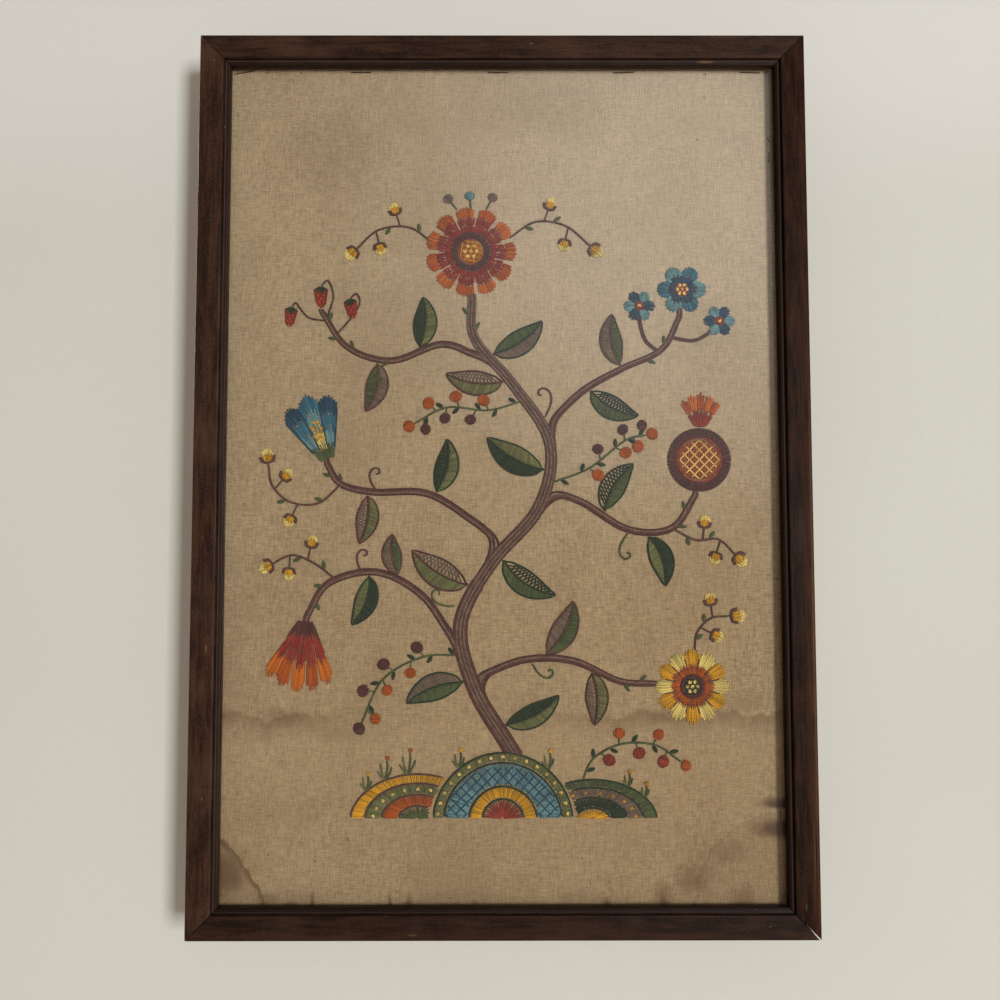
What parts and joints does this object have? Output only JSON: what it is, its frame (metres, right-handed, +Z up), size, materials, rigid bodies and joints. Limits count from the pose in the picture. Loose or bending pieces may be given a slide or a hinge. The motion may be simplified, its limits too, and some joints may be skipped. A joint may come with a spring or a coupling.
{
  "type": "crewel embroidery panel in a glazed wooden picture frame",
  "caption": "Upright crewel-worked linen panel under glass in a narrow dark mitred wooden frame, to hang flat on a wall.",
  "frame": {"origin": "middle of the top rail's flat back face, where the panel is held to a wall", "axes": "+X to the viewer's right, +Y from the worked face through to the back and the wall, +Z up the panel"},
  "size_m": [0.4376, 0.02, 0.6406],
  "materials": {
    "walnut_stain": "dark walnut stain under satin varnish, worn reddish along the outer edges",
    "clear_glass": "clear 2 mm picture glass",
    "natural_linen": "natural tan plain-weave linen with slubs, foxing and water stains",
    "fibre_board": "plain brown wood-fibre board",
    "staple_wire": "dark rusted steel wire",
    "wool_brown": "two-ply crewel wool, mauve brown",
    "wool_sage": "two-ply crewel wool, sage green",
    "wool_green": "two-ply crewel wool, dark green",
    "wool_orange": "two-ply crewel wool, burnt orange",
    "wool_rust": "two-ply crewel wool, rust red",
    "wool_gold": "two-ply crewel wool, old gold",
    "wool_blue": "two-ply crewel wool, teal blue"
  },
  "bodies": {
    "root": {"frame_rail_top": "walnut_stain", "frame_rail_bottom": "walnut_stain", "frame_stile_left": "walnut_stain", "frame_stile_right": "walnut_stain", "glass_pane": "clear_glass", "linen_ground": "natural_linen", "backing_board": "fibre_board", "staple_top_1": "staple_wire", "staple_top_2": "staple_wire", "staple_top_3": "staple_wire", "staple_top_4": "staple_wire", "staple_top_5": "staple_wire", "staple_side_1": "staple_wire", "staple_side_2": "staple_wire", "staple_side_3": "staple_wire", "hillock_middle": "wool_sage", "hillock_left": "wool_gold", "hillock_right": "wool_green", "trunk": "wool_brown", "branch_bell": "wool_brown", "branch_tulip": "wool_brown", "branch_daisy": "wool_brown", "branch_pomegranate": "wool_brown", "branch_aster": "wool_brown", "branch_strawberry": "wool_brown", "rosette": "wool_orange", "daisy": "wool_gold", "pomegranate": "wool_rust", "aster_large": "wool_blue", "aster_left": "wool_blue", "aster_right": "wool_blue", "bell_flower": "wool_orange", "tulip": "wool_blue", "pomegranate_crown": "wool_orange", "strawberry_1": "wool_rust", "strawberry_2": "wool_rust", "strawberry_3": "wool_rust", "leaf_1": "wool_sage", "leaf_2": "wool_green", "leaf_3": "wool_sage", "leaf_4": "wool_sage", "leaf_5": "wool_green", "leaf_6": "wool_sage", "leaf_7": "wool_green", "leaf_8": "wool_sage", "leaf_9": "wool_green", "leaf_10": "wool_green", "leaf_11": "wool_sage", "leaf_12": "wool_sage", "leaf_13": "wool_green", "leaf_14": "wool_sage", "leaf_15": "wool_green", "leaf_16": "wool_green", "leaf_17": "wool_sage", "leaf_18": "wool_sage", "leaf_19": "wool_green"}
  },
  "joints": []
}
